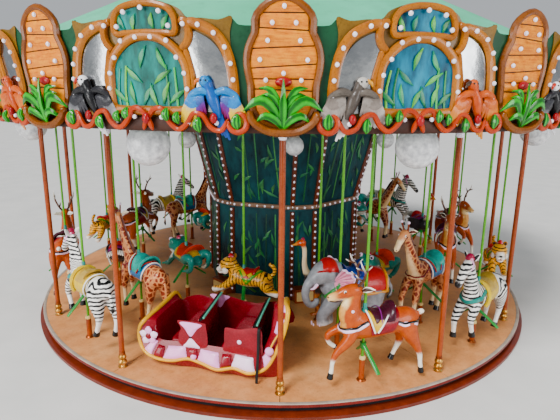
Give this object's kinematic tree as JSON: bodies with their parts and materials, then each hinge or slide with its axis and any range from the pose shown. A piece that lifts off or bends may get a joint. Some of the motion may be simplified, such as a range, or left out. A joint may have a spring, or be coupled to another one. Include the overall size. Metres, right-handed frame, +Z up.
{
  "type": "jungle animal carousel",
  "caption": "Fairground carousel with jungle animals on rising poles and bench chariots on a turntable, under a painted fascia and a cone roof.",
  "frame": {"origin": "on the axis of rotation at ground level", "axes": "+Z up, -Y towards the front of the ride, +X to its right"},
  "size_m": [9.34, 9.34, 6.4295],
  "materials": {
    "orange_paint": "glossy orange paint",
    "dark_steel": "dark steel beams",
    "red_paint": "glossy red paint",
    "tan_floor": "brown coated deck boards, worn",
    "jungle_panel": "painted jungle scene on moulded panels",
    "green_ceiling": "green painted ceiling panels with white globes",
    "mint_roof": "mint green moulded roof sheets",
    "gold_paint": "gold painted moulding",
    "fascia_paint": "ochre, orange and green painted moulding",
    "chariot_red": "glossy dark red with yellow and pink edge",
    "deer_skin": "glossy orange",
    "zebra_skin": "glossy white with black stripes",
    "giraffe_skin": "glossy salmon with brown patches",
    "tiger_skin": "glossy yellow with dark stripes",
    "elephant_skin": "glossy grey",
    "frog_skin": "glossy teal green",
    "ostrich_skin": "dark feathers with a cream neck"
  },
  "bodies": {
    "base": {"base_ring": "orange_paint", "base_cross": "dark_steel"},
    "turntable": {"deck": "red_paint", "deck_floor": "tan_floor", "post_1": "orange_paint", "post_2": "orange_paint", "post_3": "orange_paint", "post_4": "orange_paint", "post_5": "orange_paint", "post_6": "orange_paint", "post_7": "orange_paint", "post_8": "orange_paint", "post_9": "orange_paint", "post_10": "orange_paint", "post_11": "orange_paint", "post_12": "orange_paint", "tower_drum": "jungle_panel", "tower_crown": "jungle_panel", "ceiling": "green_ceiling", "roof": "mint_roof", "finial": "gold_paint", "fascia_1": "fascia_paint", "fascia_2": "fascia_paint", "fascia_3": "fascia_paint", "fascia_4": "fascia_paint", "fascia_5": "fascia_paint", "fascia_6": "fascia_paint", "chariot_1": "chariot_red", "chariot_2": "chariot_red"},
    "outer_figure_0": {"outer_deer_0": "deer_skin"},
    "outer_figure_1": {"outer_zebra_1": "zebra_skin"},
    "outer_figure_2": {"outer_tiger_2": "tiger_skin"},
    "outer_figure_3": {"outer_deer_3": "deer_skin"},
    "outer_figure_4": {"outer_zebra_4": "zebra_skin"},
    "outer_figure_6": {"outer_deer_6": "deer_skin"},
    "outer_figure_7": {"outer_zebra_7": "zebra_skin"},
    "outer_figure_8": {"outer_tiger_8": "tiger_skin"},
    "outer_figure_9": {"outer_deer_9": "deer_skin"},
    "outer_figure_10": {"outer_zebra_10": "zebra_skin"},
    "middle_figure_0": {"middle_elephant_0": "elephant_skin"},
    "middle_figure_1": {"middle_giraffe_1": "giraffe_skin"},
    "middle_figure_2": {"middle_deer_2": "deer_skin"},
    "middle_figure_3": {"middle_ostrich_3": "ostrich_skin"},
    "middle_figure_4": {"middle_giraffe_4": "giraffe_skin"},
    "middle_figure_6": {"middle_elephant_6": "elephant_skin"},
    "middle_figure_7": {"middle_giraffe_7": "giraffe_skin"},
    "middle_figure_8": {"middle_deer_8": "deer_skin"},
    "middle_figure_9": {"middle_ostrich_9": "ostrich_skin"},
    "middle_figure_10": {"middle_giraffe_10": "giraffe_skin"},
    "inner_figure_0": {"inner_ostrich_0": "ostrich_skin"},
    "inner_figure_1": {"inner_frog_1": "frog_skin"},
    "inner_figure_4": {"inner_frog_4": "frog_skin"},
    "inner_figure_5": {"inner_tiger_5": "tiger_skin"},
    "inner_figure_6": {"inner_ostrich_6": "ostrich_skin"},
    "inner_figure_7": {"inner_frog_7": "frog_skin"},
    "inner_figure_10": {"inner_frog_10": "frog_skin"},
    "inner_figure_11": {"inner_tiger_11": "tiger_skin"}
  },
  "joints": [
    {"name": "ride_spin", "type": "hinge", "parent": "base", "child": "turntable", "pos_m": [0, 0, 0], "axis": [0, 0, 1], "continuous": true},
    {"name": "outer_0_rise", "type": "slide", "parent": "turntable", "child": "outer_figure_0", "axis": [0, 0, 1], "range_m": [-0.03, 0.17]},
    {"name": "outer_1_rise", "type": "slide", "parent": "turntable", "child": "outer_figure_1", "axis": [0, 0, 1], "range_m": [-0.03, 0.17]},
    {"name": "outer_2_rise", "type": "slide", "parent": "turntable", "child": "outer_figure_2", "axis": [0, 0, 1], "range_m": [-0.17, 0.03]},
    {"name": "outer_3_rise", "type": "slide", "parent": "turntable", "child": "outer_figure_3", "axis": [0, 0, 1], "range_m": [-0.03, 0.17]},
    {"name": "outer_4_rise", "type": "slide", "parent": "turntable", "child": "outer_figure_4", "axis": [0, 0, 1], "range_m": [-0.17, 0.03]},
    {"name": "outer_6_rise", "type": "slide", "parent": "turntable", "child": "outer_figure_6", "axis": [0, 0, 1], "range_m": [-0.03, 0.17]},
    {"name": "outer_7_rise", "type": "slide", "parent": "turntable", "child": "outer_figure_7", "axis": [0, 0, 1], "range_m": [-0.03, 0.17]},
    {"name": "outer_8_rise", "type": "slide", "parent": "turntable", "child": "outer_figure_8", "axis": [0, 0, 1], "range_m": [-0.17, 0.03]},
    {"name": "outer_9_rise", "type": "slide", "parent": "turntable", "child": "outer_figure_9", "axis": [0, 0, 1], "range_m": [-0.17, 0.03]},
    {"name": "outer_10_rise", "type": "slide", "parent": "turntable", "child": "outer_figure_10", "axis": [0, 0, 1], "range_m": [-0.17, 0.03]},
    {"name": "middle_0_rise", "type": "slide", "parent": "turntable", "child": "middle_figure_0", "axis": [0, 0, 1], "range_m": [-0.17, 0.03]},
    {"name": "middle_1_rise", "type": "slide", "parent": "turntable", "child": "middle_figure_1", "axis": [0, 0, 1], "range_m": [-0.03, 0.17]},
    {"name": "middle_2_rise", "type": "slide", "parent": "turntable", "child": "middle_figure_2", "axis": [0, 0, 1], "range_m": [-0.17, 0.03]},
    {"name": "middle_3_rise", "type": "slide", "parent": "turntable", "child": "middle_figure_3", "axis": [0, 0, 1], "range_m": [-0.17, 0.03]},
    {"name": "middle_4_rise", "type": "slide", "parent": "turntable", "child": "middle_figure_4", "axis": [0, 0, 1], "range_m": [-0.03, 0.17]},
    {"name": "middle_6_rise", "type": "slide", "parent": "turntable", "child": "middle_figure_6", "axis": [0, 0, 1], "range_m": [-0.17, 0.03]},
    {"name": "middle_7_rise", "type": "slide", "parent": "turntable", "child": "middle_figure_7", "axis": [0, 0, 1], "range_m": [-0.03, 0.17]},
    {"name": "middle_8_rise", "type": "slide", "parent": "turntable", "child": "middle_figure_8", "axis": [0, 0, 1], "range_m": [-0.17, 0.03]},
    {"name": "middle_9_rise", "type": "slide", "parent": "turntable", "child": "middle_figure_9", "axis": [0, 0, 1], "range_m": [-0.03, 0.17]},
    {"name": "middle_10_rise", "type": "slide", "parent": "turntable", "child": "middle_figure_10", "axis": [0, 0, 1], "range_m": [-0.03, 0.17]},
    {"name": "inner_0_rise", "type": "slide", "parent": "turntable", "child": "inner_figure_0", "axis": [0, 0, 1], "range_m": [-0.03, 0.17]},
    {"name": "inner_1_rise", "type": "slide", "parent": "turntable", "child": "inner_figure_1", "axis": [0, 0, 1], "range_m": [-0.03, 0.17]},
    {"name": "inner_4_rise", "type": "slide", "parent": "turntable", "child": "inner_figure_4", "axis": [0, 0, 1], "range_m": [-0.17, 0.03]},
    {"name": "inner_5_rise", "type": "slide", "parent": "turntable", "child": "inner_figure_5", "axis": [0, 0, 1], "range_m": [-0.17, 0.03]},
    {"name": "inner_6_rise", "type": "slide", "parent": "turntable", "child": "inner_figure_6", "axis": [0, 0, 1], "range_m": [-0.03, 0.17]},
    {"name": "inner_7_rise", "type": "slide", "parent": "turntable", "child": "inner_figure_7", "axis": [0, 0, 1], "range_m": [-0.03, 0.17]},
    {"name": "inner_10_rise", "type": "slide", "parent": "turntable", "child": "inner_figure_10", "axis": [0, 0, 1], "range_m": [-0.17, 0.03]},
    {"name": "inner_11_rise", "type": "slide", "parent": "turntable", "child": "inner_figure_11", "axis": [0, 0, 1], "range_m": [-0.17, 0.03]}
  ],
  "couplings": [
    {"joint": "outer_1_rise", "follows": "outer_0_rise", "ratio": 1},
    {"joint": "outer_2_rise", "follows": "outer_0_rise", "ratio": -1},
    {"joint": "outer_3_rise", "follows": "outer_0_rise", "ratio": 1},
    {"joint": "outer_4_rise", "follows": "outer_0_rise", "ratio": -1},
    {"joint": "outer_6_rise", "follows": "outer_0_rise", "ratio": 1},
    {"joint": "outer_7_rise", "follows": "outer_0_rise", "ratio": 1},
    {"joint": "outer_8_rise", "follows": "outer_0_rise", "ratio": -1},
    {"joint": "outer_9_rise", "follows": "outer_0_rise", "ratio": -1},
    {"joint": "outer_10_rise", "follows": "outer_0_rise", "ratio": -1},
    {"joint": "middle_1_rise", "follows": "middle_0_rise", "ratio": -1},
    {"joint": "middle_2_rise", "follows": "middle_0_rise", "ratio": 1},
    {"joint": "middle_3_rise", "follows": "middle_0_rise", "ratio": 1},
    {"joint": "middle_4_rise", "follows": "middle_0_rise", "ratio": -1},
    {"joint": "middle_6_rise", "follows": "middle_0_rise", "ratio": 1},
    {"joint": "middle_7_rise", "follows": "middle_0_rise", "ratio": -1},
    {"joint": "middle_8_rise", "follows": "middle_0_rise", "ratio": 1},
    {"joint": "middle_9_rise", "follows": "middle_0_rise", "ratio": -1},
    {"joint": "middle_10_rise", "follows": "middle_0_rise", "ratio": -1},
    {"joint": "inner_0_rise", "follows": "outer_0_rise", "ratio": 1},
    {"joint": "inner_1_rise", "follows": "outer_0_rise", "ratio": 1},
    {"joint": "inner_4_rise", "follows": "outer_0_rise", "ratio": -1},
    {"joint": "inner_5_rise", "follows": "outer_0_rise", "ratio": -1},
    {"joint": "inner_6_rise", "follows": "outer_0_rise", "ratio": 1},
    {"joint": "inner_7_rise", "follows": "outer_0_rise", "ratio": 1},
    {"joint": "inner_10_rise", "follows": "outer_0_rise", "ratio": -1},
    {"joint": "inner_11_rise", "follows": "outer_0_rise", "ratio": -1}
  ]
}
